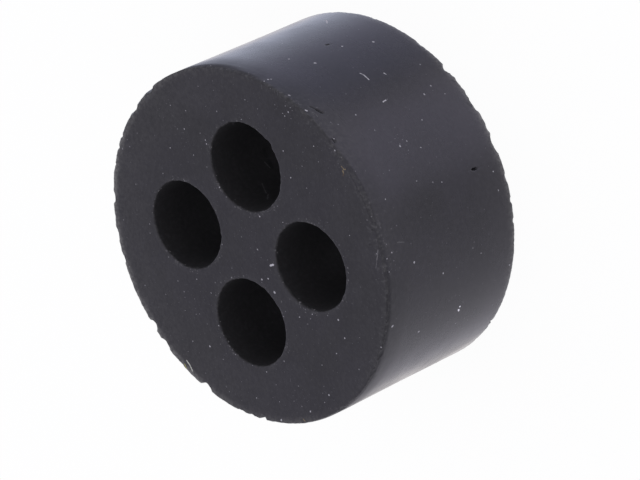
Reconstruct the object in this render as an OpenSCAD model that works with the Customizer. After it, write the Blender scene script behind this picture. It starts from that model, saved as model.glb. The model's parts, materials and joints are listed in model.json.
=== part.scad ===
// Multi-hole sealing insert for a round cable gland.
// One solid rubber plug: a short cylinder with parallel cable holes right through it.
// It stands on its back face at z = 0, and the first cable hole lies on +X.

/* [Body] */
// Outside diameter of the insert
body_d = 28; // [28:0.5:34]
// Length of the insert from end face to end face
body_l = 14.3; // [8:0.1:20]
// Bevel where each end face meets the outside wall
rim_bevel = 0.2; // [0.1:0.05:0.5]

/* [Cable holes] */
// Number of cable holes, evenly spaced on one circle
hole_count = 4; // [2:1:5]
// Diameter of each cable hole
hole_d = 7; // [4:0.5:7.5]
// Thickness of rubber left between neighbouring holes
hole_web = 2; // [1:0.1:2.5]
// Bevel at the mouths of the cable holes
mouth_bevel = 0.1; // [0.05:0.05:0.3]

/* [Torn rims] */
// Width of a full nick, along the rim
nick_w = 1.2; // [0.6:0.1:2]
// Depth of a full nick, in from the outside wall
nick_depth = 0.4; // [0.2:0.05:0.6]
// Height of a full nick, down the outside wall
nick_h = 0.7; // [0.3:0.1:1.5]

/* [Hidden] */
$fn = 96;

// Radius of the circle that the hole centres lie on
hole_circle_r = (hole_d + hole_web) / 2 / sin(180 / hole_count);
// How far a cutter runs past the face that it cuts, so that the two never share a plane
overrun = 1;

// Nicks torn out of each rim: [angle round the axis, share of a full nick]
front_nicks = [[132, 0.9], [138.5, 0.7], [159.5, 1], [184.5, 0.6]];
back_nicks = [[-33, 0.8], [-47, 0.6], [-60, 0.7]];

// Outside of the plug, turned from half of its section
module plug() {
    wall_r = body_d / 2;
    face_r = wall_r - rim_bevel;
    rotate_extrude()
        polygon([
            [0, 0],
            [face_r, 0],
            [wall_r, rim_bevel],
            [wall_r, body_l - rim_bevel],
            [face_r, body_l],
            [0, body_l]
        ]);
}

// One cable hole along Z with a bevelled mouth at both ends, turned from half of its section
module cable_hole() {
    hole_r = hole_d / 2;
    mouth_r = hole_r + mouth_bevel;
    rotate_extrude()
        polygon([
            [0, -overrun],
            [mouth_r, -overrun],
            [mouth_r, 0],
            [hole_r, mouth_bevel],
            [hole_r, body_l - mouth_bevel],
            [mouth_r, body_l],
            [mouth_r, body_l + overrun],
            [0, body_l + overrun]
        ]);
}

// One nick in the rim at z = 0 on +X: a cone standing outside the wall that runs out
// at the nick's height
module rim_nick(share) {
    depth = nick_depth * share;
    width = nick_w * share;
    height = nick_h * share;
    cone_r = (width * width / 4 + depth * depth) / (2 * depth);
    slope = depth / height;
    translate([body_d / 2 + cone_r - depth, 0, -overrun])
        cylinder(h = overrun + cone_r / slope, r1 = cone_r + overrun * slope, r2 = 0);
}

// All the nicks of one rim, with that rim at z = 0
module torn_rim(nicks) {
    for (nick = nicks)
        rotate([0, 0, nick[0]])
            rim_nick(nick[1]);
}

module sealing_insert() {
    color([0.24, 0.24, 0.26])
        difference() {
            plug();
            for (i = [0 : hole_count - 1])
                rotate([0, 0, i * 360 / hole_count])
                    translate([hole_circle_r, 0, 0])
                        cable_hole();
            torn_rim(back_nicks);
            translate([0, 0, body_l])
                mirror([0, 0, 1])
                    torn_rim(front_nicks);
        }
}

sealing_insert();
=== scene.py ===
"""Dresses a multi-hole cable gland insert as a worn, dusty plug of black rubber on a white floor."""
import json
import math
import random

import bpy
import numpy as np
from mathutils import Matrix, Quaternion, Vector, noise
from mathutils.geometry import delaunay_2d_cdt


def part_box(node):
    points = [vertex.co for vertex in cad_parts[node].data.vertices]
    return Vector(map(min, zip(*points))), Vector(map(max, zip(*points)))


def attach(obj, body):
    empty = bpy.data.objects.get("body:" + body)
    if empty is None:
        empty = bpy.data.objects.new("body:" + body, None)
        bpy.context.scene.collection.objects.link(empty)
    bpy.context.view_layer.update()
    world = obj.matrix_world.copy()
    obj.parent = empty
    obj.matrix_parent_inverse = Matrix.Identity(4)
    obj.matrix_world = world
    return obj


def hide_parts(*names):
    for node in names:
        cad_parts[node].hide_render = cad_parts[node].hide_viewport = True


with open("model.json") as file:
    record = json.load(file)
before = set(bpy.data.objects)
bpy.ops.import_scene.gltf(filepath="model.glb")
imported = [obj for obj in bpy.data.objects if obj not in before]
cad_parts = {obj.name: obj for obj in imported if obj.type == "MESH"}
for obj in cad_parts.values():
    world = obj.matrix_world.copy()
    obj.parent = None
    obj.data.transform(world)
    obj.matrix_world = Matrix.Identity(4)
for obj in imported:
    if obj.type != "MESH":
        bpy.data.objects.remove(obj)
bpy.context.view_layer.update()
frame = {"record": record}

# Sizes are in millimetres and angles in degrees, and the mesh is brought to metres at the end
MM = 0.001
NODE = "sealing_insert"
low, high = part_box(NODE)
BODY_R = (high[0] - low[0]) / 2 / MM
BODY_L = (high[2] - low[2]) / MM
HOLES = [
    (mount["pos_m"][0] / MM, mount["pos_m"][1] / MM, mount["dims"]["r_mm"])
    for mount in frame["record"]["mounts"]
    if mount["kind"] == "bore"
]

# The holes were moulded slightly off the middle of the plug
HOLE_DRIFT = [(0.17, -0.25), (0.21, -0.27), (0.32, -0.17), (0.25, -0.12)]
HOLE_TIGHTER = 0.045
HOLES = [(x + dx, y + dy, r - HOLE_TIGHTER) for (x, y, r), (dx, dy) in zip(HOLES, HOLE_DRIFT)]

# The wall is slightly drawn in at mid-length, and again towards the front rim
WAIST = 0.03
FRONT_TAPER = 0.06
TAPER_REACH = 2.6

# Rounding of the worn rims, over the face and down the wall, and the least that is left of it
FRONT_ROUND = 0.12
FRONT_RISE = 0.36
BACK_ROUND = 0.11
LEAST_ROUND = 0.04

# It varies along each rim in long, short and very short waves, each with its own height
RIM_WAVES = (2.6, 0.55, 0.24)
RIM_WANDER = 0.06
RIM_FINE = 0.05
RIM_FINEST = 0.03
RIM_SEEDS = (11.0, 29.0)

# Nicks in the rims: (angle round the axis, depth, width along the rim, height down the wall)
FRONT_NICKS = [
    (132.3, 0.37, 1.0, 0.6), (139.3, 0.25, 1.15, 0.5), (159.4, 0.38, 1.2, 0.7),
    (184.2, 0.38, 0.75, 0.5), (42.3, 0.2, 1.1, 0.4), (53.4, 0.07, 1.2, 0.3), (65.5, 0.07, 0.5, 0.2),
    (70, 0.05, 0.5, 0.2), (75.3, 0.05, 0.9, 0.2), (88.2, 0.13, 1.0, 0.4), (100.8, 0.1, 1.1, 0.3),
    (109, 0.11, 0.7, 0.35), (147.6, 0.05, 0.5, 0.3), (175, 0.04, 0.7, 0.2), (179.2, 0.07, 0.6, 0.2),
    (-118, 0.06, 0.7, 0.2), (-110.5, 0.08, 0.8, 0.25), (-139, 0.1, 0.5, 0.3),
    (-56, 0.04, 6.5, 0.17),
]
BACK_NICKS = [
    (-33.3, 0.26, 0.9, 0.3), (-47.5, 0.13, 1.2, 0.18), (-60.0, 0.17, 1.2, 0.2),
    (-39.5, 0.05, 1.0, 0.06), (-44.2, 0.1, 1.0, 0.1), (-41.1, 0.06, 0.5, 0.06),
    (-35.6, 0.05, 0.5, 0.05), (-62.8, 0.1, 0.55, 0.1), (-55.5, 0.09, 0.6, 0.08),
    (-71.8, 0.02, 0.7, 0.12), (-79, 0.09, 0.5, 0.1), (-85.5, 0.04, 0.5, 0.07),
    (-22.5, 0.05, 1.4, 0.05), (-2.2, 0.08, 0.4, 0.08), (-123.6, 0.12, 0.4, 0.3),
    (96, 0.2, 0.9, 0.5), (150, 0.2, 1.3, 0.5), (171, 0.12, 0.9, 0.4),
]

# A nick falls off towards its ends, and is squarer in section than the rounding
NICK_FALL = 0.8
NICK_SQUARER = 1.2

# Stretches along the rims are given as (angle, half width in degrees, strength).
# The front rim is crumbly where it is frayed, keeps more of its edge where it is square, and
# its rounding is not given the painted highlight where it is dark
FRAYED = [(-33, 12, 0.5), (-52, 14, 0.25), (-74, 14, 0.7), (95, 50, 0.3), (-110, 18, 0.25)]
SQUARE_RIM = [(30, 15, 1.0), (-104, 28, 1.0), (-48, 27, 0.6)]
SQUARE_KEEPS = 0.6
DARK_RIM = [(-110, 21, 1.0), (-48, 24, 0.5)]

# Fraying wears a rim deeper and higher by an even part and by shares of its two shorter waves
FRAY_DEPTH = (0.07, 0.09, 0.06)
FRAY_HEIGHT = (0.07, -0.08, 0.07)

# Stretches painted pale as painted light: the front rim, the face and the wall beside it, and the
# back rim.
# The face is pale from a radius outward, and the wall from a depth under the rim, then fades
PAINTED_LIGHT_RIM = [(113, 54, 1.0), (105, 70, 0.6), (-48, 22, 0.04), (-168, 18, 0.25)]
PAINTED_LIGHT_FACE = [(94, 86, 0.06), (-85, 60, 0.02)]
PAINTED_LIGHT_FACE_FROM = 7.0
PAINTED_LIGHT_WALL = [(-38, 14, 0.06), (-55, 16, 0.025), (-71, 10, 0.045)]
PAINTED_LIGHT_WALL_FULL = 0.7
PAINTED_LIGHT_WALL_FADE = 1.4
PAINTED_LIGHT_WALL_REACH = 3.5
PAINTED_LIGHT_BACK = [(-44, 13, 0.6), (-60, 8, 0.6)]
PAINTED_LIGHT_BACK_REACH = 0.22

# Scuffs on the wall at the front rim: (angle, half width, strength, where they begin and are full)
SCUFFS = [
    (17, 14, 1.0, 1.1, 0.35), (-134, 9, 0.5, 0.75, 0.45), (-118, 10, 0.3, 1.1, 0.35),
    (-104, 30, 0.75, 0.6, 0.3), (4, 10, 0.75, 0.6, 0.3), (-132, 6, 0.1, 5.0, 3.0),
]

# Marks sunk into the wall: (angle, height, length, width, depth, tilt from the axis)
WALL_MARKS = [
    (-28.9, 13.1, 0.75, 0.16, 0.45, 68),
    (-26.9, 13.3, 0.4, 0.1, 0.12, 68),
    (-39.8, 13.87, 0.5, 0.13, 0.3, 84),
    (-65.2, 2.95, 0.55, 0.17, 0.45, 14),
    (-5.4, 6.1, 0.36, 0.16, 0.14, 30),
]

# Their outlines wobble in short waves
MARK_WAVE = 0.3
MARK_WOBBLE = 0.25
MARK_REACH = 1.35

# Rounding of the mouths, more worn over one stretch, where the edge of the mouth is not painted with
# a highlight
MOUTH_ROUND = 0.11
LEAST_MOUTH = 0.03
MOUTH_WAVES = (0.45, 1.8)
MOUTH_FINE = 0.07
MOUTH_WANDER = 0.06
MOUTH_WORN_UNHIGHLIGHTED = [(-65, 45, 1.0)]
MOUTH_WEAR = 0.1

# Small dents in the front mouth of each hole: (angle round the hole, depth, width)
MOUTH_DENTS = [
    [(-45, 0.2, 0.8), (-59, 0.05, 0.3), (-107, 0.09, 0.5), (160, 0.06, 0.6)],
    [(70, 0.06, 0.6), (-150, 0.05, 0.5), (-90, 0.08, 0.5)],
    [(110, 0.07, 0.7), (-10, 0.05, 0.5), (-117, 0.1, 0.6), (-26, 0.1, 0.6)],
    [(20, 0.06, 0.5), (170, 0.04, 0.8)],
]

# Crumbs along the mouths: (angle round the hole, half width in degrees, strength)
MOUTH_CRUMBS = [
    [(210, 60, 1.0), (125, 15, 0.8), (0, 30, 0.6), (88, 10, 0.6)],
    [(285, 70, 0.8), (5, 20, 0.8), (180, 30, 0.9)],
    [(275, 55, 0.9), (130, 25, 0.8), (35, 20, 0.6)],
    [(172, 15, 0.9), (255, 35, 0.9), (335, 30, 0.9), (42, 8, 0.8)],
]
LEAST_CRUMBS = 0.2
MOUTH_FRAY = 0.6
HOLE_SEED = 40.0
HOLE_SEED_STEP = 7

# Unevenness of the wall and of its torn rims, in layers of (height, wave, seed)
WALL_UNEVEN = [(0.01, 7.0, 2.0), (0.0015, 1.3, 4.0)]
WALL_SET_IN = 0.012
TORN = [(0.03, 0.35, 6.0), (0.02, 0.9, 8.0)]
TORN_REACH = 0.5

# Unevenness of both cut ends, in layers of (height, wave), with a seed for each end
END_UNEVEN = [(0.015, 5.0), (0.004, 1.1)]
END_SEEDS = (1.0, 5.0)

# Chips and slivers broken out of the frayed stretches
CHIP_WAVE = 0.3
CHIP_FROM = 0.1
CHIP_DEPTH = 0.07
SLIVER_WAVE = 0.18
SLIVER_DEPTH = 0.03
CHIP_REACH = 0.45

# Unevenness of a hole's wall, the finer one fading inward from its mouths
BORE_WAVES = (4.0, 0.4)
BORE_HEIGHTS = (0.02, 0.05)
BORE_FADE = 0.4

# Where an end face starts, in from the wall and out from a hole
FACE_STARTS = 0.02
MOUTH_STARTS = 0.005

# Tearing lowers a rim no further in than where its face is flat, and no deeper than this
FLAT_FROM = 0.3
TORN_DEPTH = 0.6

# Mesh points round the body and round a hole. The body's lie closer together over the dense
# stretches: (angle, half width in degrees, how much denser)
AROUND = 1000
DENSE = [(-33, 10, 1.4), (-65.2, 2, 1.6), (-5.4, 2, 1.2), (146, 18, 0.4)]
HOLE_AROUND = 160

# Bands of fine rows: over the face and down the wall at each rim, and over the face at each mouth
FACE_BAND = 1.0
WALL_BAND = 1.55
MOUTH_BAND = 0.5

# Rows over a rim's face and bend, and down its wall: (count, denser from, denser to)
FACE_ROWS = 4
ARC_ROWS = 7
WALL_STEPS = (15, 0.5, 0.86)
BACK_FACE_ROWS = 2
BACK_ARC_ROWS = 6
BACK_WALL_STEPS = (7, 0, 0)
SLIT_DENSER = 1.6

# Rows down the rest of the wall and across a mark in it, and down a hole from mouth to mouth
PLAIN_ROWS = 10
MARK_ROWS = 8
MOUTH_ARC_ROWS = 5
MOUTH_STEPS = (0.3, 0.6, 1.1)
BORE_ROWS = 7
BORE_ENDS = 2.0

# Loose points over the end faces, in staggered rows that keep clear of the holes and the rim
FACE_STEP = 0.38
ROW_PITCH = 0.866
FACE_JITTER = 0.06
HOLE_CLEAR = 0.15
RIM_CLEAR = 0.2
MERGE_WITHIN = 1e-5

# How far the marks that the material reads spread from the rims and mouths
CUT_FULL = 0.2
EDGE_REACH = 0.42
# How much lighter the bend of a rim's rounding is painted: a painted highlight
ARC_HIGHLIGHT = 0.8
FRAY_REACH = 0.75
MOUTH_CUT_FULL = 0.1
MOUTH_EDGE_REACH = 0.25
# How much lighter the mouths' edges are painted: wear with a painted highlight
MOUTH_EDGE = 0.6
CRUMB_REACH = 0.24
MARKS = ("cut", "bore", "fray", "edge", "pale", "scuff", "crumb")


def smooth(x):
    """Smooth step from 0 to 1 as x goes from 0 to 1."""
    x = np.clip(x, 0, 1)
    return x * x * (3 - 2 * x)


def field(x, y, z, wave, seed):
    """Smooth noise from -1 to 1 over arrays of places, with features about one wave long."""
    flat = zip(np.ravel(x) / wave, np.ravel(y) / wave, np.ravel(z) / wave)
    values = [noise.noise(Vector((a + seed, b - seed, c + 2 * seed))) for a, b, c in flat]
    return np.array(values).reshape(np.shape(x))


def layers(x, y, z, parts):
    """Sum of smooth noises, each given as height, wave and seed."""
    return sum(height * field(x, y, z, wave, seed) for height, wave, seed in parts)


def turn_between(angles, centre):
    """Signed difference of each angle from a centre given in degrees, in radians."""
    return (angles - math.radians(centre) + math.pi) % (2 * math.pi) - math.pi


def within(angles, stretches):
    """Strength at each angle of a list of stretches, fading out at their ends."""
    total = np.zeros_like(angles)
    for centre, half, strength in stretches:
        away = np.abs(turn_between(angles, centre)) / math.radians(half)
        total = np.maximum(total, strength * smooth(1.5 - away))
    return total


def spread(steps, weight, shares):
    """Places along the steps at the given shares of their summed weight."""
    total = np.concatenate([[0], np.cumsum((weight[1:] + weight[:-1]) / 2)])
    return np.interp(shares * total[-1], total, steps)


def body_angles():
    """Angles of the points round the body, closer together where there is fine damage."""
    steps = np.linspace(0, 2 * math.pi, 14401)
    return spread(steps, 1 + within(steps, DENSE), np.arange(AROUND) / AROUND)


def band_steps(count, dense_from, dense_to):
    """Shares of the way down a rim's wall band, closer together over the stretch with the slits."""
    steps = np.linspace(0, 1, 401)
    weight = 1 + SLIT_DENSER * ((steps > dense_from) & (steps < dense_to))
    return spread(steps, weight, np.linspace(0, 1, count + 1)[1:])


class Shell:
    """A closed surface gathered from grids and filled faces that share their rings of points."""

    def __init__(self):
        self.points = []
        self.faces = []
        self.marks = {name: [] for name in MARKS}

    def add_points(self, points, **marks):
        """Adds loose points and returns their numbers."""
        first = len(self.points)
        self.points.extend(points)
        for name, values in self.marks.items():
            given = marks.get(name, 0.0)
            values.extend(np.broadcast_to(given, len(points)).tolist())
        return list(range(first, len(self.points)))

    def add_grid(self, x, y, z, **marks):
        """Quads between closed rings; returns the point numbers of the first and the last ring."""
        rows, count = x.shape
        places = np.stack([x.ravel(), y.ravel(), z.ravel()], 1).tolist()
        flat = {name: np.ravel(np.broadcast_to(value, x.shape)) for name, value in marks.items()}
        numbers = np.array(self.add_points(places, **flat)).reshape(rows, count)
        here, there = numbers[:-1], numbers[1:]
        quads = np.stack([here, there, np.roll(there, -1, 1), np.roll(here, -1, 1)], -1)
        self.faces.extend(quads.reshape(-1, 4).tolist())
        return numbers[0].tolist(), numbers[-1].tolist()

    def fill(self, outer, holes, inside, up):
        """Triangles between an outer ring and the holes' rings, through the points inside."""
        numbers = outer + [n for ring in holes for n in ring] + inside
        flat = [Vector(self.points[n][:2]) for n in numbers]
        edges = []
        start = 0
        for ring in [outer] + holes:
            edges += [(start + i, start + (i + 1) % len(ring)) for i in range(len(ring))]
            start += len(ring)
        _, _, triangles, origins, _, _ = delaunay_2d_cdt(flat, edges, [], 0, MERGE_WITHIN)
        for triangle in triangles:
            corners = [origins[n][0] for n in triangle]
            middle = sum((flat[n] for n in corners), Vector((0, 0))) / 3
            if any((middle - Vector((x, y))).length < r + MOUTH_BAND * 0.98 for x, y, r in HOLES):
                continue
            face = [numbers[n] for n in corners]
            self.faces.append(face if up else face[::-1])

    def mesh(self, name):
        """The finished mesh, in metres, with its marks as point attributes."""
        data = bpy.data.meshes.new(name)
        data.from_pydata([[c * MM for c in p] for p in self.points], [], self.faces)
        data.validate()
        for mark, values in self.marks.items():
            layer = data.attributes.new(mark, "FLOAT", "POINT")
            layer.data.foreach_set("value", values)
        data.shade_smooth()
        return data


def end_height(x, y, seed):
    """Slight unevenness of a cut end face, always inward."""
    return sum(height * (1 + field(x, y, 0 * x, wave, seed)) for height, wave in END_UNEVEN)


def follow_ends(x, y, z, inner):
    """Sinks the inner rows to the unevenness of the end face that they lie on."""
    z = np.where(inner & (z > BODY_L / 2), z - end_height(x, y, END_SEEDS[0]), z)
    return np.where(inner & (z < BODY_L / 2), z + end_height(x, y, END_SEEDS[1]), z)


def rim_cut(angles, nicks, frayed, kept, rounding, rise, seed):
    """How deep and how high each rim is worn back by angle, and how square that wear is."""
    x, y = BODY_R * np.cos(angles), BODY_R * np.sin(angles)
    wander = field(x, y, 0 * x, RIM_WAVES[0], seed)
    fine = field(x, y, 0 * x, RIM_WAVES[1], seed + 3)
    finest = field(x, y, 0 * x, RIM_WAVES[2], seed + 5)
    depth = rounding + RIM_WANDER * np.clip(wander, -0.6, 1)
    height = rise + RIM_WANDER * np.clip(-wander, -0.6, 1)
    depth += RIM_FINE * fine + RIM_FINEST * finest
    height += RIM_FINE * fine - RIM_FINEST * finest
    depth += frayed * (FRAY_DEPTH[0] + FRAY_DEPTH[1] * fine + FRAY_DEPTH[2] * finest)
    height += frayed * (FRAY_HEIGHT[0] + FRAY_HEIGHT[1] * fine + FRAY_HEIGHT[2] * finest)
    depth *= 1 - SQUARE_KEEPS * kept
    height *= 1 - SQUARE_KEEPS * kept
    square = np.ones(AROUND)
    for angle, nick_depth, width, nick_height in nicks:
        across = turn_between(angles, angle) * BODY_R / (width / 2)
        share = np.clip(1 - across ** 2, 0, 1) ** NICK_FALL
        depth += nick_depth * share
        height += nick_height * share
        square += NICK_SQUARER * share
    depth = np.clip(depth, LEAST_ROUND, FACE_BAND * 0.8)
    height = np.clip(height, LEAST_ROUND, WALL_BAND * 0.8)
    return depth, height, square


def painted_light_share(x, y):
    """Share of painted light on the front face, growing towards its rim."""
    outward = (np.hypot(x, y) - PAINTED_LIGHT_FACE_FROM) / (BODY_R - PAINTED_LIGHT_FACE_FROM)
    return within(np.arctan2(y, x), PAINTED_LIGHT_FACE) * smooth(outward)


def wall_radius(z, taper=FRONT_TAPER):
    """Radius of the wall: slightly drawn in at mid-length, and again towards the front rim."""
    drawn_in = taper * np.clip(1 - (BODY_L - z) / TAPER_REACH, 0, 1) ** 2
    return BODY_R - WAIST * (1 - (2 * z / BODY_L - 1) ** 2) - drawn_in


def wall_rows():
    """Heights of the rows between the two fine bands, closer together where there is a mark."""
    top, bottom = BODY_L - WALL_BAND, WALL_BAND
    rows = list(np.linspace(top, bottom, PLAIN_ROWS))
    for _, height, length, width, _, tilt in WALL_MARKS:
        if bottom < height < top:
            reach = max(width, length * math.cos(math.radians(tilt))) * 0.75
            rows = [z for z in rows if abs(z - height) > reach * 1.2]
            rows += list(np.linspace(height + reach, height - reach, MARK_ROWS))
    return np.array(sorted(rows, reverse=True))


def rim_rows(depth, height, square, face_rows, arc_rows, steps):
    """Section of one rim by angle, from the face to the wall, as distances in from the corner."""
    inward, down = [], []
    for share in np.linspace(0, 1, face_rows + 1)[:-1]:
        near = 1 - (1 - share) ** 1.6
        inward.append(FACE_BAND + (depth - FACE_BAND) * near)
        down.append(np.zeros(AROUND))
    for share in np.linspace(0, 1, arc_rows + 1):
        turn = share * math.pi / 2
        inward.append(depth * (1 - np.maximum(math.sin(turn), 1e-6) ** square))
        down.append(height * (1 - np.maximum(math.cos(turn), 1e-6) ** square))
    for share in steps:
        inward.append(np.zeros(AROUND))
        down.append(height + (WALL_BAND - height) * share)
    return np.array(inward), np.array(down)


def sink_marks(angles, z):
    """Depth of the pits and tears at each place on the wall."""
    sunk = np.zeros_like(z)
    for angle, height, length, width, depth, tilt in WALL_MARKS:
        across = turn_between(angles, angle) * BODY_R
        along = z - height
        tilt = math.radians(tilt)
        u = along * math.cos(tilt) + across * math.sin(tilt)
        v = across * math.cos(tilt) - along * math.sin(tilt)
        wobble = 1 + MARK_WOBBLE * field(u, v, 0 * u, MARK_WAVE, height)
        outward = (u / (length / 2)) ** 2 + (v / (width / 2)) ** 2
        sunk += depth * smooth(MARK_REACH - outward * wobble)
    return sunk


def skin_section(angles, frayed, kept):
    """Rows from the front face over the wall to the back face: how far in, and at what height."""
    front_cut = rim_cut(angles, FRONT_NICKS, frayed, kept, FRONT_ROUND, FRONT_RISE, RIM_SEEDS[0])
    back_cut = rim_cut(angles, BACK_NICKS, 0, 0, BACK_ROUND, BACK_ROUND, RIM_SEEDS[1])
    front_in, front_down = rim_rows(*front_cut, FACE_ROWS, ARC_ROWS, band_steps(*WALL_STEPS))
    back_steps = band_steps(*BACK_WALL_STEPS)
    back_in, back_down = rim_rows(*back_cut, BACK_FACE_ROWS, BACK_ARC_ROWS, back_steps)
    middle = np.repeat(wall_rows()[1:-1, None], AROUND, 1)
    inward = np.vstack([front_in, np.zeros_like(middle), back_in[::-1]])
    return inward, np.vstack([BODY_L - front_down, middle, back_down[::-1]])


def skin_marks(angles, place, inward, inner, from_front):
    """What the material is told of each place on the skin: cut, edge worn and painted with a
    highlight, frayed, painted pale or scuffed.
    """
    x, y, z = place
    from_back = BODY_L - from_front
    from_end = np.minimum(from_front, from_back)
    cut = np.where(inner, smooth(inward / CUT_FULL), 0.0)
    # The edge mark is worn edge near the rims, with a painted highlight on the bend of the rounding
    # except over the dark stretches
    edge = np.exp(-((from_end + inward) / EDGE_REACH) ** 2) * (1 - 0.4 * cut)
    arc = np.zeros((len(z), 1))
    bend = np.linspace(0, math.pi, ARC_ROWS + 1)
    arc[FACE_ROWS:FACE_ROWS + ARC_ROWS + 1, 0] = np.abs(np.sin(bend)) ** 0.4
    edge = edge + ARC_HIGHLIGHT * arc * (1 - within(angles, DARK_RIM))
    fray = within(angles, FRAYED) * np.exp(-((from_front + inward) / FRAY_REACH) ** 2)
    # Painted light: the front rim and the face towards it are painted pale over their stretches
    near_front = np.clip(1 - (from_front + inward) / FACE_BAND, 0, 1)
    painted_light_front = np.maximum(within(angles, PAINTED_LIGHT_RIM) * near_front ** 2.0, painted_light_share(x, y) * cut)
    painted_light_front = np.where(z > BODY_L / 2, painted_light_front, 0)
    # Painted light: the back rim is painted pale all round, more over its stretches
    painted_light_back = 1 + within(angles, PAINTED_LIGHT_BACK)
    painted_light_back = painted_light_back * np.exp(-from_back / PAINTED_LIGHT_BACK_REACH) * (1 - cut)
    # Painted light: the wall under the front rim is painted lighter over its stretches
    painted_light_wall = np.clip(PAINTED_LIGHT_WALL_FADE * (1 - from_front / PAINTED_LIGHT_WALL_REACH), 0, 1)
    painted_light_wall = painted_light_wall * smooth(from_front / PAINTED_LIGHT_WALL_FULL) * within(angles, PAINTED_LIGHT_WALL)
    scuff = 0 * z
    for angle, half, strength, start, full in SCUFFS:
        band = smooth((start - from_front) / (start - full))
        scuff = np.maximum(scuff, within(angles, [(angle, half, strength)]) * band * (1 - cut))
    pale = np.maximum(np.maximum(painted_light_front, painted_light_back), painted_light_wall)
    return {"cut": cut, "edge": edge, "fray": fray, "pale": pale, "scuff": scuff}


def build_skin(shell):
    """Outer wall with both rims and a band of each end face; returns its two inner rings."""
    angles = body_angles()
    frayed = within(angles, FRAYED)
    kept = within(angles, SQUARE_RIM)
    inward, z = skin_section(angles, frayed, kept)
    turn = np.broadcast_to(angles, z.shape)
    r = wall_radius(z, FRONT_TAPER * (1 - kept)) - inward

    from_front = BODY_L - z
    from_end = np.minimum(from_front, z)
    near_wall = smooth(1 - inward / FACE_BAND)
    x, y = BODY_R * np.cos(turn), BODY_R * np.sin(turn)
    uneven = layers(x, y, z, WALL_UNEVEN) - WALL_SET_IN
    torn = np.abs(layers(x, y, z, TORN)) * np.exp(-(from_end + inward) / TORN_REACH)
    chips = CHIP_DEPTH * np.clip(field(x, y, z, CHIP_WAVE, 9.0) - CHIP_FROM, 0, 1)
    chips += SLIVER_DEPTH * np.abs(field(x, y, z, SLIVER_WAVE, 10.0))
    chips *= frayed * np.exp(-(from_front + inward) / CHIP_REACH)
    r = r + near_wall * (uneven - torn - chips - sink_marks(turn, z))
    flat_part = smooth((inward - FLAT_FROM) / FLAT_FROM)
    sunk = (1 - flat_part) * torn + (1 - near_wall * 0.5) * chips
    z = z - np.sign(z - BODY_L / 2) * sunk * (from_end < TORN_DEPTH)
    x, y = r * np.cos(turn), r * np.sin(turn)
    inner = inward > FACE_STARTS
    z = follow_ends(x, y, z, inner)
    return shell.add_grid(x, y, z, **skin_marks(angles, (x, y, z), inward, inner, from_front))


def mouth_rows(angles, x, y, hole_r, dents, seed):
    """Section of one mouth by angle: distances out from the hole's wall and down from the face."""
    fine = field(x, y, 0 * x, MOUTH_WAVES[0], seed)
    wander = field(x, y, 0 * x, MOUTH_WAVES[1], seed + 3)
    mouth = MOUTH_ROUND + MOUTH_FINE * fine + MOUTH_WANDER * np.clip(wander, 0, 1)
    mouth += MOUTH_WEAR * within(angles, MOUTH_WORN_UNHIGHLIGHTED)
    for angle, depth, width in dents:
        across = turn_between(angles, angle) * hole_r / (width / 2)
        mouth += depth * np.clip(1 - across ** 2, 0, 1)
    mouth = np.clip(mouth, LEAST_MOUTH, MOUTH_BAND * 0.9)
    out = [MOUTH_BAND + (mouth - MOUTH_BAND) * share for share in (0, 0.5)]
    down = [0 * mouth, 0 * mouth]
    for share in np.linspace(0, 1, MOUTH_ARC_ROWS + 1):
        turn = share * math.pi / 2
        out.append(mouth * (1 - math.sin(turn)))
        down.append(mouth * (1 - math.cos(turn)))
    for depth in MOUTH_STEPS:
        out.append(0 * mouth)
        down.append(0 * mouth + depth)
    return np.array(out), np.array(down)


def build_hole(shell, hole, dents, crumbs, seed):
    """Wall of one hole with both mouths and a ring of each end face."""
    centre_x, centre_y, hole_r = hole
    angles = np.arange(HOLE_AROUND) * (2 * math.pi / HOLE_AROUND)
    x, y = hole_r * np.cos(angles) + centre_x, hole_r * np.sin(angles) + centre_y
    front_out, front_down = mouth_rows(angles, x, y, hole_r, dents, seed + 1)
    back_out, back_down = mouth_rows(angles, x, y, hole_r, [], seed)
    heights = np.linspace(BODY_L - BORE_ENDS, BORE_ENDS, BORE_ROWS)
    middle = np.repeat(heights[:, None], HOLE_AROUND, 1)
    out = np.vstack([front_out, 0 * middle, back_out[::-1]])
    z = np.vstack([BODY_L - front_down, middle, back_down[::-1]])

    turn = np.broadcast_to(angles, z.shape)
    x, y = hole_r * np.cos(turn) + centre_x, hole_r * np.sin(turn) + centre_y
    from_end = np.minimum(z, BODY_L - z)
    uneven = BORE_HEIGHTS[0] * field(x, y, z, BORE_WAVES[0], seed)
    near_mouth = np.exp(-from_end / BORE_FADE)
    uneven = uneven + BORE_HEIGHTS[1] * field(x, y, z, BORE_WAVES[1], seed) * near_mouth
    r = hole_r + out + smooth(1 - out / MOUTH_BAND) * uneven
    x, y = centre_x + r * np.cos(turn), centre_y + r * np.sin(turn)
    z = follow_ends(x, y, z, out > MOUTH_STARTS)

    cut = smooth(out / MOUTH_CUT_FULL)
    # Edge of each mouth: worn edge with a painted highlight, left off over the more worn stretch
    edge = np.exp(-(from_end + np.abs(out - 0.05)) / MOUTH_EDGE_REACH)
    edge = MOUTH_EDGE * edge * (1 - within(angles, MOUTH_WORN_UNHIGHLIGHTED))
    crumb = np.exp(-((from_end + np.abs(out - 0.1)) / CRUMB_REACH) ** 2)
    crumb = crumb * (LEAST_CRUMBS + (1 - LEAST_CRUMBS) * within(angles, crumbs))
    fray = MOUTH_FRAY * crumb
    marks = {"cut": cut, "bore": 1 - cut, "edge": edge, "fray": fray, "crumb": crumb}
    flipped = {name: values[:, ::-1] for name, values in marks.items()}
    return shell.add_grid(x[:, ::-1], y[:, ::-1], z[:, ::-1], **flipped)


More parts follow.
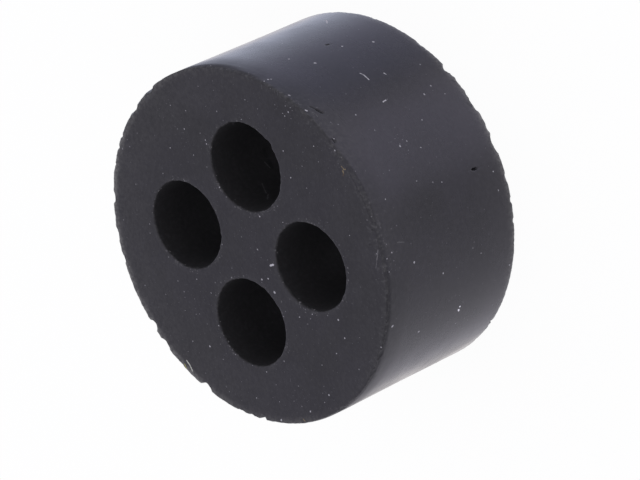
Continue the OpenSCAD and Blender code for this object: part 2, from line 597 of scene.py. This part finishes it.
def face_points(rng):
    """Places spread over an end face between the holes and the rim."""
    places = []
    count = int(BODY_R / FACE_STEP) + 1
    for row in range(-count, count + 1):
        for column in range(-count, count + 1):
            x = (column + 0.5 * (row % 2)) * FACE_STEP + rng.uniform(-FACE_JITTER, FACE_JITTER)
            y = row * FACE_STEP * ROW_PITCH + rng.uniform(-FACE_JITTER, FACE_JITTER)
            keep_off = MOUTH_BAND + HOLE_CLEAR
            clear = all(math.hypot(x - hx, y - hy) > hr + keep_off for hx, hy, hr in HOLES)
            if clear and math.hypot(x, y) < BODY_R - FACE_BAND - WAIST - RIM_CLEAR:
                places.append((x, y))
    return np.array(places)


def build_body():
    """The whole plug as one closed mesh."""
    shell = Shell()
    front_ring, back_ring = build_skin(shell)
    mouths = [
        build_hole(shell, hole, dents, crumbs, HOLE_SEED + HOLE_SEED_STEP * i)
        for i, (hole, dents, crumbs) in enumerate(zip(HOLES, MOUTH_DENTS, MOUTH_CRUMBS))
    ]
    rng = random.Random(5)
    for end, ring in enumerate((front_ring, back_ring)):
        places = face_points(rng)
        x, y = places[:, 0], places[:, 1]
        dip = end_height(x, y, END_SEEDS[end])
        z = BODY_L - dip if end == 0 else dip
        # Painted light on the front face towards its rim
        pale = painted_light_share(x, y) if end == 0 else 0.0
        inside = shell.add_points(np.stack([x, y, z], 1).tolist(), cut=1.0, pale=pale)
        shell.fill(ring, [pair[end] for pair in mouths], inside, up=end == 0)
    body = bpy.data.objects.new("rubber_insert", shell.mesh("rubber_insert"))
    bpy.context.scene.collection.objects.link(body)
    return body


class Tree:
    """Adds shader nodes and wires their inputs as they are made."""

    def __init__(self, tree):
        self.tree = tree
        tree.nodes.clear()

    def node(self, kind, settings=None, **inputs):
        """A new node; an input is named, or given by its number as i0, i1 and so on."""
        made = self.tree.nodes.new(kind)
        for name, value in (settings or {}).items():
            setattr(made, name, value)
        for name, value in inputs.items():
            numbered = name[0] == "i" and name[1:].isdigit()
            socket = made.inputs[int(name[1:]) if numbered else name.replace("_", " ")]
            if isinstance(value, bpy.types.NodeSocket):
                self.tree.links.new(value, socket)
            else:
                socket.default_value = value
        return made

    def math(self, operation, a, b=0.0, c=0.0, clamp=False):
        settings = {"operation": operation, "use_clamp": clamp}
        return self.node("ShaderNodeMath", settings, i0=a, i1=b, i2=c).outputs[0]

    def times(self, a, b):
        return self.math("MULTIPLY", a, b)

    def larger(self, a, b):
        return self.math("MAXIMUM", a, b)

    def vector(self, operation, a, b):
        return self.node("ShaderNodeVectorMath", {"operation": operation}, i0=a, i1=b).outputs[0]

    def dot(self, a, b):
        made = self.node("ShaderNodeVectorMath", {"operation": "DOT_PRODUCT"}, i0=a, i1=b)
        return made.outputs["Value"]

    def distance(self, a, b):
        made = self.node("ShaderNodeVectorMath", {"operation": "DISTANCE"}, i0=a, i1=b)
        return made.outputs["Value"]

    def scaled(self, vector, factor):
        made = self.node("ShaderNodeVectorMath", {"operation": "SCALE"}, i0=vector, Scale=factor)
        return made.outputs[0]

    def ramp(self, value, start, end, low=0.0, high=1.0):
        made = self.node(
            "ShaderNodeMapRange", {"interpolation_type": "SMOOTHSTEP"},
            Value=value, From_Min=start, From_Max=end, To_Min=low, To_Max=high,
        )
        return made.outputs[0]

    def blend(self, share, a, b, how="MIX"):
        settings = {"data_type": "RGBA", "blend_type": how}
        return self.node("ShaderNodeMix", settings, i0=share, i6=a, i7=b).outputs[2]

    def between(self, share, a, b):
        return self.node("ShaderNodeMix", {"data_type": "FLOAT"}, i0=share, i2=a, i3=b).outputs[0]

    def noise(self, place, scale, detail, roughness):
        made = self.node(
            "ShaderNodeTexNoise", None,
            Vector=place, Scale=scale, Detail=detail, Roughness=roughness,
        )
        return made.outputs[0]

    def mark(self, name):
        return self.node("ShaderNodeAttribute", {"attribute_name": name}).outputs["Fac"]


def rgb(r, g, b):
    return (r, g, b, 1.0)


# Bits that lie on the rubber: two ends in millimetres, half thickness and colour.
# On the front face the ends are (x, y), and on the wall they are (angle, height).
WHITE_FLUFF = rgb(0.42, 0.42, 0.44)
GREY_FLUFF = rgb(0.11, 0.11, 0.115)
DULL_STRAW = rgb(0.17, 0.135, 0.08)
BROWN = rgb(0.06, 0.045, 0.035)
BORE_HAZE = rgb(0.02, 0.02, 0.021)
BORE_FLUFF = rgb(0.055, 0.055, 0.057)
STRAW = rgb(0.42, 0.43, 0.38)
BRIGHT_GRAIN = rgb(0.75, 0.75, 0.78)
YELLOW_FLUFF = rgb(0.3, 0.29, 0.1)
SCRAPE = rgb(0.055, 0.055, 0.06)
DIM_FLUFF = rgb(0.07, 0.07, 0.073)
FACE_FIBRES = [
    ((9.12, -9.9), (8.94, -10.14), 0.045, DULL_STRAW),
    ((8.91, -10.13), (8.98, -10.28), 0.05, DULL_STRAW),
    ((8.81, -10.02), (8.61, -10.11), 0.06, DULL_STRAW),
    ((8.6, -10.15), (8.42, -10.05), 0.06, BROWN),
    ((-11.24, 6.81), (-11.51, 6.5), 0.06, STRAW),
    ((-11.51, 6.5), (-11.94, 6.24), 0.06, STRAW),
    ((-11.6, 7.05), (-11.95, 6.88), 0.05, YELLOW_FLUFF),
    ((-12.5, -5.2), (-12.62, -5.35), 0.05, DULL_STRAW),
    ((3.44, -13.22), (2.64, -13.09), 0.05, GREY_FLUFF),
    ((2.64, -13.09), (1.97, -12.97), 0.03, GREY_FLUFF),
    ((-0.6, -2.75), (-0.75, -2.45), 0.085, WHITE_FLUFF),
    ((9.5, 9.6), (9.6, 9.75), 0.13, SCRAPE),
    ((13.52, -2.28), (13.22, -2.31), 0.05, SCRAPE),
    ((13.57, -3.52), (13.23, -3.57), 0.05, SCRAPE),
    ((13.38, -3.83), (13.11, -3.87), 0.04, SCRAPE),
]
WALL_FIBRES = [
    ((-108.1, 5.74), (-108.5, 5.66), 0.085, BRIGHT_GRAIN),
    ((-106.9, 5.68), (-107.1, 5.62), 0.07, BRIGHT_GRAIN),
    ((-22.4, 7.01), (-23.7, 6.9), 0.04, WHITE_FLUFF),
    ((-23.7, 6.9), (-25.9, 6.92), 0.05, WHITE_FLUFF),
    ((-25.9, 5.28), (-26.6, 5.22), 0.05, WHITE_FLUFF),
    ((-34.8, 7.5), (-34.7, 7.15), 0.055, WHITE_FLUFF),
    ((-34.7, 7.15), (-34.6, 6.95), 0.035, GREY_FLUFF),
    ((10.6, 2.22), (9.7, 2.19), 0.05, WHITE_FLUFF),
    ((9.7, 2.19), (7.5, 2.71), 0.05, WHITE_FLUFF),
    ((-75.4, 12.5), (-76.2, 11.85), 0.05, DIM_FLUFF),
    ((-36.0, 0.35), (-36.6, 0.25), 0.12, GREY_FLUFF),
    ((-37.7, 0.49), (-38.3, 0.37), 0.13, SCRAPE),
    ((-43.0, 0.4), (-43.6, 0.3), 0.12, GREY_FLUFF),
    ((-46.0, 0.67), (-47.4, 0.47), 0.16, SCRAPE),
    ((-26.8, 13.96), (-27.2, 13.92), 0.07, WHITE_FLUFF),
    ((-27.9, 13.74), (-29.3, 13.5), 0.035, GREY_FLUFF),
    ((-29.3, 13.5), (-30.5, 13.59), 0.03, GREY_FLUFF),
    ((-38.9, 13.82), (-39.2, 13.78), 0.05, WHITE_FLUFF),
]

# On the wall of a hole they are (hole number, angle, height)
BORE_FIBRES = [
    ((0, 111, 8.85), (0, 119, 8.9), 0.16, BORE_HAZE),
    ((0, 127, 8.8), (0, 134, 8.85), 0.16, BORE_HAZE),
    ((0, 125, 9.25), (0, 134, 9.07), 0.07, BORE_FLUFF),
    ((0, 149, 10.7), (0, 165, 11.2), 0.07, BORE_FLUFF),
    ((0, 168, 11.2), (0, 176, 11.8), 0.065, BORE_FLUFF),
    ((0, 46, 12.8), (0, 52, 12.5), 0.06, BORE_FLUFF),
]

# Brighter specks in the same coordinates, with their radius
FACE_SPECKS = [
    (-2.85, -2.75, 0.11), (-1.9, -2.15, 0.08), (-2.15, -1.5, 0.08), (-9.3, 4.25, 0.085),
    (-3.25, -9.1, 0.08), (-9.7, -7.9, 0.08), (6.1, 7.45, 0.065), (12.05, -4.85, 0.065),
    (11.65, -4.5, 0.055), (-11.65, -5.95, 0.07), (-4.15, -5.2, 0.065), (7.4, 3.6, 0.065),
    (7.7, 3.7, 0.05), (10.0, -7.25, 0.055), (8.05, 5.85, 0.06), (6.9, -4.85, 0.06),
    (-9.4, 6.05, 0.055), (-6.05, -8.8, 0.055), (-12.2, -0.45, 0.05), (-7.45, -7.3, 0.05),
    (6.15, 5.0, 0.05), (3.85, -10.5, 0.05), (-4.05, 5.3, 0.05), (8.85, -4.2, 0.05),
    (9.55, 5.6, 0.055), (9.6, 7.2, 0.05), (10.3, 2.4, 0.05), (-4.75, 7.3, 0.05), (-13.3, -2.9, 0.1),
    (-4.25, -13.25, 0.07), (11.85, 4.2, 0.04), (10.19, -9.31, 0.075), (2.94, -1.54, 0.065),
    (-7.26, 3.23, 0.06), (4.22, 2.46, 0.055), (-9.2, 1.58, 0.055), (10.29, -0.09, 0.055),
    (-0.4, 2.45, 0.05), (3.1, -3.87, 0.05), (3.78, 6.09, 0.05), (-4.58, -3.56, 0.05),
    (-3.55, -6.5, 0.055), (12.46, -4.58, 0.045), (12.46, -5.05, 0.045), (11.81, -4.28, 0.04),
    (-11.65, -2.15, 0.035), (-11.8, -2.8, 0.04), (-11.3, -4.3, 0.035), (-11.5, -5.1, 0.035),
    (-9.9, -4.8, 0.04), (-11.3, 1.05, 0.03), (-9.7, -1.6, 0.055), (-7.0, 6.7, 0.045),
    (-7.0, 5.55, 0.04), (-5.9, 6.65, 0.035), (-4.75, 3.85, 0.045), (5.9, 10.5, 0.025),
    (8.1, 4.2, 0.035), (10.4, 3.5, 0.03), (-10.45, -7.45, 0.035),
]
WALL_SPECKS = [
    (-35.1, 10.55, 0.07), (-83.6, 11.15, 0.1), (-101.2, 13.5, 0.12), (-49.6, 8.75, 0.08),
    (-12.9, 3.05, 0.1), (-11.2, 9.0, 0.11), (-77.5, 13.25, 0.07), (-91.5, 8.1, 0.08),
    (-100.0, 0.45, 0.08), (-78.6, 13.85, 0.065), (-82.8, 13.85, 0.055), (-68.3, 1.2, 0.065),
    (-36.4, 2.6, 0.08), (-38.0, 3.7, 0.08), (-9.6, 13.6, 0.08), (-109.0, 10.1, 0.1),
    (-19.2, 13.85, 0.08), (-9.0, 5.45, 0.09), (-45.1, 5.45, 0.06), (-40.6, 1.95, 0.05),
    (-87.9, 4.75, 0.055), (-49.0, 7.9, 0.06), (-42.0, 10.0, 0.05), (-90.9, 3.85, 0.06),
    (-63.5, 7.35, 0.045), (-64.6, 6.5, 0.045), (-74.3, 1.2, 0.06), (-62.1, 12.35, 0.055),
    (-28.4, 1.85, 0.05), (-52.6, 7.0, 0.045), (-4.3, 10.0, 0.08), (-9.5, 14.0, 0.05),
    (-10.0, 13.4, 0.05), (13.3, 13.85, 0.05), (-75.6, 12.3, 0.035), (-74.5, 13.6, 0.035),
    (-80.1, 13.2, 0.035),
]

# Patches thick with fine dust, with their reach
FACE_DUSTY = [
    (7.5, 3.9, 1.2), (7.2, 5.3, 1.0), (8.3, 6.4, 1.5), (5.5, 11.0, 0.9), (10.3, 3.2, 1.0),
    (4.4, 7.4, 1.0), (4.7, 2.7, 0.9), (0.8, -0.2, 1.9), (-2.2, -1.3, 1.4), (-5.9, 5.5, 1.6),
    (-3.8, -6.7, 1.1), (6.0, -6.9, 0.8), (4.3, -7.6, 0.9), (10.5, 0.0, 1.0), (11.8, -4.9, 1.7),
    (-10.0, -6.5, 1.6), (-8.8, 1.4, 1.8), (11.6, 2.6, 1.3), (-10.7, -4.0, 2.0), (-6.6, 6.2, 1.6),
    (7.6, 6.9, 1.5),
]
WALL_DUSTY = [(-79.2, 13.6, 1.8), (-32, 13.4, 1.6), (-48, 8.5, 1.6)]

# How deep under the nominal surface the bits and specks lie, as the uneven surface does
FACE_SINK = 0.018
WALL_SINK = 0.012

# Dust as (cell, size) in millimetres: one speck at most in each cell
COARSE_DUST = (0.95, 0.075)
FINE_DUST = (0.42, 0.055)
FINEST_DUST = (0.2, 0.036)
MOUTH_DUST = (0.2, 0.075)

# Noises of the rubber as (scale per millimetre, detail, roughness), some stretched or shifted
CLOUDS = (0.16, 3.0, 0.55)
GRAIN = (3.2, 4.0, 0.6)
STREAKS = (1.0, 3.0, 0.55)
STREAK_STRETCH = (0.35, 2.6, 1.0)
CRUMBS = (3.6, 2.0, 0.5)
GAPS = (2.6, 3.0, 0.6)
GAP_SHIFT = (31.0, 17.0, 5.0)
DUSTY = (0.22, 2.0, 0.5)
DUST_SHIFT = (7.0, 3.0, 11.0)
BLOOM = (0.35, 2.0, 0.6)
RINGS = (1.0, 3.0, 0.6)
RING_STRETCH = (0.12, 0.12, 2.2)
WOBBLE_SCALE = 9.0
WOBBLE = 0.11

# Colours of the rubber, of its worn edges with their painted highlight, of its painted light and
# painted shade, and of the dust on it
WALL_DARK = rgb(0.008, 0.008, 0.0102)
WALL_LIGHT = rgb(0.0125, 0.012, 0.0165)
FACE_DARK = rgb(0.008, 0.0077, 0.0106)
FACE_LIGHT = rgb(0.011, 0.0103, 0.015)
# Painted light: the wall is painted lighter towards the back end, starting at this height and full at
# the next
PAINTED_FOOT_LIGHT = rgb(0.0175, 0.017, 0.0205)
FOOT_FROM = 4.5
FOOT_FULL = 0.5
BORE_TONE = rgb(0.008, 0.0078, 0.0082)
GRAIN_LIGHT = rgb(0.009, 0.009, 0.0095)
BLACK = rgb(0.0, 0.0, 0.0)
# Edges: worn, and painted with a highlight
EDGE_WEAR_AND_HIGHLIGHT_TONE = rgb(0.03, 0.03, 0.031)
# Painted light on the pale stretches of the rims, face and wall
PAINTED_LIGHT_TONE = rgb(0.17, 0.17, 0.16)
CRUMB_TONE = rgb(0.06, 0.06, 0.063)
# Painted shade in the gaps of the frayed rubber
GAP_SHADE_TONE = rgb(0.002, 0.002, 0.002)
MOUTH_DUST_TONE = rgb(0.2, 0.2, 0.205)
DUST_TONE = rgb(0.42, 0.42, 0.44)

# Finish of the rubber
INDEX = 1.5
GLOSS = 0.34
WALL_ROUGH = 0.255
RUBBED_ROUGH = 0.42
RUBBED_FROM = 11.2
RUBBED_TO = 13.6
SCUFF_ROUGHER = 0.44
RING_ROUGHER = 0.08
BLOOM_ROUGHER = 0.03
DUST_ROUGHER = 0.4
FACE_ROUGH = 0.56
BORE_ROUGH = 0.7
WALL_RELIEF = 0.18
BORE_RELIEF = 0.04
RELIEF_SHARE = 0.6
RELIEF_M = 0.00004


def on_face(spot):
    return Vector((spot[0], spot[1], BODY_L - FACE_SINK))


def on_wall(spot):
    turn = math.radians(spot[0])
    reach = wall_radius(spot[1]) - WALL_SINK
    return Vector((reach * math.cos(turn), reach * math.sin(turn), spot[1]))


def on_bore(spot):
    hole_x, hole_y, hole_r = HOLES[spot[0]]
    turn = math.radians(spot[1])
    return Vector((hole_x + hole_r * math.cos(turn), hole_y + hole_r * math.sin(turn), spot[2]))


def on_body(face_spots, wall_spots):
    """Places of spots on the face and on the wall, each with its reach."""
    spots = [(on_face(spot), spot[2]) for spot in face_spots]
    return spots + [(on_wall(spot), spot[2]) for spot in wall_spots]


def fibre(tree, place, start, end, reach):
    """Share of cover by a short straight fibre between two places."""
    span = end - start
    from_start = tree.vector("SUBTRACT", place, start)
    along = tree.dot(from_start, span / span.length_squared)
    along = tree.math("ADD", along, 0.0, clamp=True)
    painted_foot_light = tree.scaled(span, along)
    return tree.ramp(tree.distance(from_start, painted_foot_light), reach * 1.2, reach * 0.5)


def spots_at(tree, place, spots, full):
    """Share of cover by round spots, whole inside the given share of their reach."""
    nearest = 9.0
    for spot, reach in spots:
        away = tree.math("DIVIDE", tree.distance(place, spot), reach)
        nearest = tree.math("MINIMUM", nearest, away)
    return tree.ramp(nearest, 1.15, full)


def dust(tree, place, cell, size, share):
    """Small round specks: one in each chosen cell, where the surface passes close to its point."""
    cells = tree.node("ShaderNodeTexVoronoi", {"feature": "F1"}, Vector=place, Scale=1 / cell)
    parts = tree.node("ShaderNodeSeparateColor", None, Color=cells.outputs["Color"])
    chosen = tree.math("LESS_THAN", parts.outputs[0], share)
    reach = tree.math("MULTIPLY_ADD", parts.outputs[1], size / cell, 0.4 * size / cell)
    near = tree.math("DIVIDE", cells.outputs["Distance"], reach)
    spot = tree.ramp(near, 1.0, 0.45)
    bright = tree.math("MULTIPLY_ADD", tree.math("POWER", parts.outputs[2], 2.0), 0.85, 0.15)
    return tree.times(tree.times(spot, chosen), bright)


def clean_tone(tree, place, height, mark):
    """Colour of clean rubber, cloudy, with a fine grain that runs in faint streaks over the ends, and
    with painted light on the wall towards the back end.
    """
    clouds = tree.ramp(tree.noise(place, *CLOUDS), 0.3, 0.7)
    wall = tree.blend(clouds, WALL_DARK, WALL_LIGHT)
    face = tree.blend(clouds, FACE_DARK, FACE_LIGHT)
    on_skin = tree.math("SUBTRACT", 1.0, mark["cut"])
    # Painted light: the wall is painted lighter towards the back end
    painted_foot_light = tree.times(tree.ramp(height, FOOT_FROM, FOOT_FULL), on_skin)
    wall = tree.blend(painted_foot_light, wall, PAINTED_FOOT_LIGHT)
    tone = tree.blend(mark["cut"], wall, face)
    tone = tree.blend(mark["bore"], tone, BORE_TONE)
    grain = tree.noise(place, *GRAIN)
    streaks = tree.noise(tree.vector("MULTIPLY", place, STREAK_STRETCH), *STREAKS)
    streaks = tree.times(tree.ramp(streaks, 0.45, 0.75), mark["cut"])
    grain_share = tree.larger(tree.ramp(grain, 0.35, 0.85), tree.times(streaks, 0.4))
    grain_light = tree.blend(grain_share, BLACK, GRAIN_LIGHT)
    return tree.blend(1.0, tone, grain_light, "ADD"), grain


def wear_and_painted_light_tone(tree, place, mark, tone):
    """Adds worn rims and mouths with painted highlights on their edges, painted light on the pale
    stretches, and pale crumbs and painted shade in the gaps where the rim is frayed.
    """
    crumbs = tree.noise(place, *CRUMBS)
    # Edges painted lighter: wear with a painted highlight
    edge = tree.times(mark["edge"], tree.ramp(crumbs, 0.42, 0.62, 0.2, 0.8))
    tone = tree.blend(edge, tone, EDGE_WEAR_AND_HIGHLIGHT_TONE)
    # Painted light: the pale stretches are blended towards a pale tone
    pale = tree.times(mark["pale"], tree.ramp(crumbs, 0.35, 0.65, 0.5, 1.3))
    tone = tree.blend(pale, tone, PAINTED_LIGHT_TONE)
    worn = tree.larger(mark["fray"], tree.times(mark["edge"], 0.35))
    light_bits = tree.times(tree.ramp(crumbs, 0.58, 0.68), worn)
    tone = tree.blend(light_bits, tone, CRUMB_TONE)
    # Painted shade: the gaps among the crumbs of the frayed stretches are painted nearly black and
    # sunk in relief
    gaps = tree.noise(tree.vector("ADD", place, GAP_SHIFT), *GAPS)
    gap_shade = tree.times(tree.ramp(gaps, 0.62, 0.72, 0.0, 0.7), mark["fray"])
    return tree.blend(gap_shade, tone, GAP_SHADE_TONE), light_bits, gap_shade


def dusty_tone(tree, place, mark, tone):
    """Adds dust, thicker in patches and along the frayed rim, and the placed specks and fibres."""
    dusty = tree.noise(tree.vector("ADD", place, DUST_SHIFT), *DUSTY)
    dusty = tree.ramp(dusty, 0.35, 0.65, 0.15, 0.5)
    dusty = tree.times(dusty, tree.ramp(mark["cut"], 0.0, 1.0, 0.45, 1.0))
    dusty = tree.larger(dusty, tree.times(mark["fray"], 0.4))
    coarse = dust(tree, place, *COARSE_DUST, tree.times(dusty, 0.6))
    dusty = tree.larger(dusty, spots_at(tree, place, on_body(FACE_DUSTY, WALL_DUSTY), 0.35))
    fine = dust(tree, place, *FINE_DUST, dusty)
    finest = dust(tree, place, *FINEST_DUST, tree.times(dusty, 0.8))
    specks = tree.larger(coarse, tree.times(tree.larger(fine, finest), 0.4))
    specks = tree.times(specks, tree.ramp(mark["bore"], 0.0, 1.0, 1.0, 0.1))
    placed = spots_at(tree, place, on_body(FACE_SPECKS, WALL_SPECKS), 0.5)
    specks = tree.larger(specks, tree.times(placed, 0.8))
    mouth_specks = dust(tree, place, *MOUTH_DUST, mark["crumb"])
    tone = tree.blend(mouth_specks, tone, MOUTH_DUST_TONE)
    tone = tree.blend(specks, tone, DUST_TONE)
    cover = tree.larger(specks, mouth_specks)
    kinds = (FACE_FIBRES, on_face), (WALL_FIBRES, on_wall), (BORE_FIBRES, on_bore)
    for fibres, put_on in kinds:
        for start, end, reach, colour in fibres:
            share = fibre(tree, place, put_on(start), put_on(end), reach)
            tone = tree.blend(share, tone, colour)
            cover = tree.larger(cover, share)
    return tone, cover


def roughness(tree, place, height, mark, cover):
    """Satin wall with cloudy bloom and faint rings, duller ends and bores, and dull dust."""
    bloom = tree.ramp(tree.noise(place, *BLOOM), 0.3, 0.7, -BLOOM_ROUGHER, BLOOM_ROUGHER)
    rough = tree.ramp(height, RUBBED_FROM, RUBBED_TO, WALL_ROUGH, RUBBED_ROUGH)
    rough = tree.math("MULTIPLY_ADD", mark["scuff"], SCUFF_ROUGHER, rough)
    rings = tree.noise(tree.vector("MULTIPLY", place, RING_STRETCH), *RINGS)
    rings = tree.math("SUBTRACT", rings, 0.5)
    rough = tree.math("MULTIPLY_ADD", rings, RING_ROUGHER, rough)
    rough = tree.between(mark["cut"], rough, FACE_ROUGH)
    rough = tree.between(mark["bore"], rough, BORE_ROUGH)
    rough = tree.math("ADD", rough, bloom)
    return tree.math("MULTIPLY_ADD", cover, DUST_ROUGHER, rough, clamp=True)


def rubber():
    """Black rubber: slightly bluish, satin on the wall, dull on the cut ends, frayed and dusty, with
    painted highlights, painted light and painted shade.
    """
    material = bpy.data.materials.new("worn_black_rubber")
    material.use_nodes = True
    tree = Tree(material.node_tree)
    place = tree.scaled(tree.node("ShaderNodeTexCoord").outputs["Object"], 1 / MM)
    height = tree.node("ShaderNodeSeparateXYZ", None, Vector=place).outputs["Z"]
    mark = {name: tree.mark(name) for name in MARKS}
    tone, grain = clean_tone(tree, place, height, mark)
    tone, light_bits, gap_shade = wear_and_painted_light_tone(tree, place, mark, tone)

    # The outlines of specks and fibres wobble slightly
    wobble = tree.node("ShaderNodeTexNoise", None, Vector=place, Scale=WOBBLE_SCALE, Detail=1.0)
    wobble = tree.vector("SUBTRACT", wobble.outputs["Color"], (0.5, 0.5, 0.5))
    place = tree.vector("ADD", place, tree.scaled(wobble, WOBBLE))
    tone, cover = dusty_tone(tree, place, mark, tone)
    rough = roughness(tree, place, height, mark, tree.larger(cover, gap_shade))

    relief = tree.times(grain, tree.ramp(mark["cut"], 0.0, 1.0, WALL_RELIEF, 1.0))
    relief = tree.times(relief, tree.ramp(mark["bore"], 0.0, 1.0, 1.0, BORE_RELIEF))
    bits = tree.math("SUBTRACT", light_bits, gap_shade)
    relief = tree.math("MULTIPLY_ADD", bits, 0.5, relief)
    bump = tree.node("ShaderNodeBump", None, Strength=RELIEF_SHARE, Distance=RELIEF_M, Height=relief)
    shader = tree.node(
        "ShaderNodeBsdfPrincipled", None,
        Base_Color=tone, Roughness=rough, Normal=bump.outputs[0], IOR=INDEX, Specular_IOR_Level=GLOSS,
    )
    tree.node("ShaderNodeOutputMaterial", None, Surface=shader.outputs[0])
    return material


# Light and background: an even pale studio whose sides differ a little, each given as
# (azimuth, rise, outer reach, inner reach) in degrees
STUDIO_COLOUR = rgb(0.93, 0.905, 1.0)
BRIGHT_SIDE = (-39, -36, 31, 10)
BRIGHT_COLOUR = rgb(1.56, 1.5, 1.82)
DIM_SIDE = (32, -38, 32, 10)
DIM_COLOUR = rgb(0.8, 0.81, 1.06)
COOL_SIDE = (88, -32, 62, 15)
COOL_COLOUR = rgb(1.07, 1.135, 1.4)
WARM_SIDE = (128, -42, 27, 10)
WARM_COLOUR = rgb(1.25, 1.19, 1.2)
SIDES = [
    (COOL_SIDE, COOL_COLOUR), (WARM_SIDE, WARM_COLOUR),
    (DIM_SIDE, DIM_COLOUR), (BRIGHT_SIDE, BRIGHT_COLOUR),
]
WHITE = rgb(1.0, 1.0, 1.0)
PAPER = rgb(0.95, 0.95, 0.95)
FLOOR_WHITE_SHARE = 0.95
FLOOR_SIZE = 6.0


def sky():
    """Soft studio light all round, seen by the camera as plain white."""
    world = bpy.data.worlds.new("studio")
    world.use_nodes = True
    bpy.context.scene.world = world
    tree = Tree(world.node_tree)
    toward = tree.node("ShaderNodeTexCoord").outputs["Generated"]
    colour = STUDIO_COLOUR
    for (angle, rise, outer, inner), side in SIDES:
        turn, rise = math.radians(angle), math.radians(rise)
        middle = (math.cos(turn) * math.cos(rise), math.sin(turn) * math.cos(rise), math.sin(rise))
        edges = math.cos(math.radians(outer)), math.cos(math.radians(inner))
        colour = tree.blend(tree.ramp(tree.dot(toward, middle), *edges), colour, side)
    seen = tree.node("ShaderNodeLightPath").outputs["Is Camera Ray"]
    light = tree.node("ShaderNodeBackground", None, Color=colour, Strength=1.0).outputs[0]
    white = tree.node("ShaderNodeBackground", None, Color=WHITE, Strength=1.0).outputs[0]
    mixed = tree.node("ShaderNodeMixShader", None, i0=seen, i1=light, i2=white).outputs[0]
    tree.node("ShaderNodeOutputWorld", None, Surface=mixed)


def floor():
    """White floor that keeps a faint shadow; reflections pass it and find the studio instead."""
    half = FLOOR_SIZE / 2
    corners = [(-half, -half, 0), (half, -half, 0), (half, half, 0), (-half, half, 0)]
    data = bpy.data.meshes.new("floor")
    data.from_pydata(corners, [], [(0, 1, 2, 3)])
    ground = bpy.data.objects.new("floor", data)
    bpy.context.scene.collection.objects.link(ground)
    material = bpy.data.materials.new("white_floor")
    material.use_nodes = True
    tree = Tree(material.node_tree)
    rays = tree.node("ShaderNodeLightPath").outputs
    paper = tree.node("ShaderNodeBsdfDiffuse", None, Color=PAPER).outputs[0]
    white = tree.node("ShaderNodeEmission", None, Color=WHITE, Strength=1.0).outputs[0]
    clear = tree.node("ShaderNodeBsdfTransparent").outputs[0]
    seen = tree.times(rays["Is Camera Ray"], FLOOR_WHITE_SHARE)
    surface = tree.node("ShaderNodeMixShader", None, i0=seen, i1=paper, i2=white).outputs[0]
    glossy = rays["Is Glossy Ray"]
    surface = tree.node("ShaderNodeMixShader", None, i0=glossy, i1=surface, i2=clear).outputs[0]
    tree.node("ShaderNodeOutputMaterial", None, Surface=surface)
    data.materials.append(material)


# Camera, turned to lie as the photograph does
CAMERA_AZIMUTH = 32.65
CAMERA_ELEVATION = 41.8
CAMERA_ROLL = -115.17
CAMERA_AIM = Vector((-1.56, -0.91, 7.23))
CAMERA_DISTANCE = 329.5
CAMERA_LENS = 246.9
CAMERA_SENSOR = 36.0
NEAREST_M = 0.01
FARTHEST_M = 20.0


def camera():
    """The camera, aimed at the plug and rolled."""
    data = bpy.data.cameras.new("camera")
    data.lens = CAMERA_LENS
    data.sensor_width = CAMERA_SENSOR
    data.clip_start = NEAREST_M
    data.clip_end = FARTHEST_M
    viewer = bpy.data.objects.new("camera", data)
    bpy.context.scene.collection.objects.link(viewer)
    azimuth, elevation = math.radians(CAMERA_AZIMUTH), math.radians(CAMERA_ELEVATION)
    toward = Vector((
        -math.sin(azimuth) * math.cos(elevation),
        math.cos(azimuth) * math.cos(elevation),
        -math.sin(elevation),
    ))
    viewer.location = (CAMERA_AIM - toward * CAMERA_DISTANCE) * MM
    viewer.rotation_mode = "QUATERNION"
    roll = Quaternion((0, 0, 1), math.radians(CAMERA_ROLL))
    viewer.rotation_quaternion = toward.to_track_quat("-Z", "Y") @ roll
    bpy.context.scene.camera = viewer


body = build_body()
body.data.materials.append(rubber())
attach(body, "root")
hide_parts(NODE)
sky()
floor()
camera()
bpy.context.scene.view_settings.view_transform = "Standard"
